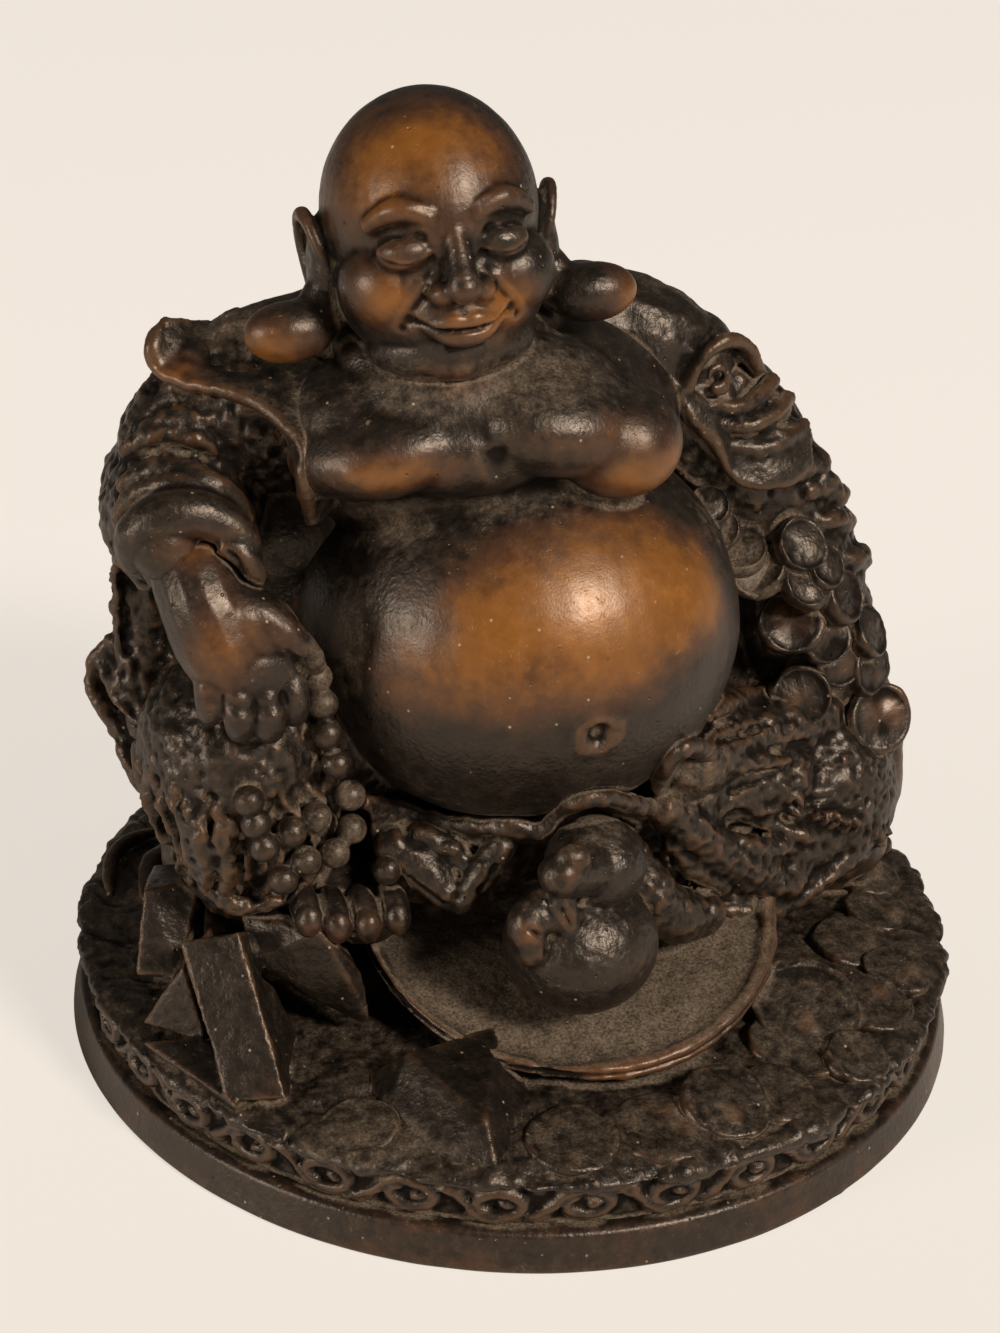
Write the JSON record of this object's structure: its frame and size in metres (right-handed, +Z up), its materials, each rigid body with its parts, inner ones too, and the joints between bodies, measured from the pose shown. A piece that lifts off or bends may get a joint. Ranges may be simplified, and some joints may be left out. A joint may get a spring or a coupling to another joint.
{
  "type": "laughing buddha statue",
  "caption": "Seated laughing buddha statue in an open robe, with prayer beads, gourd, ingots and coins, on a round base with a scroll band.",
  "frame": {"origin": "centre of the flat underside of the round base", "axes": "+Z up through the head, -Y out of the figure's front, +X to the figure's left"},
  "size_m": [0.16, 0.16, 0.1694],
  "materials": {
    "bronze_patina": "cold-cast resin, dark brown bronze patina rubbed to orange brown on the high places, satin"
  },
  "bodies": {
    "root": {"statue": "bronze_patina"}
  },
  "joints": []
}
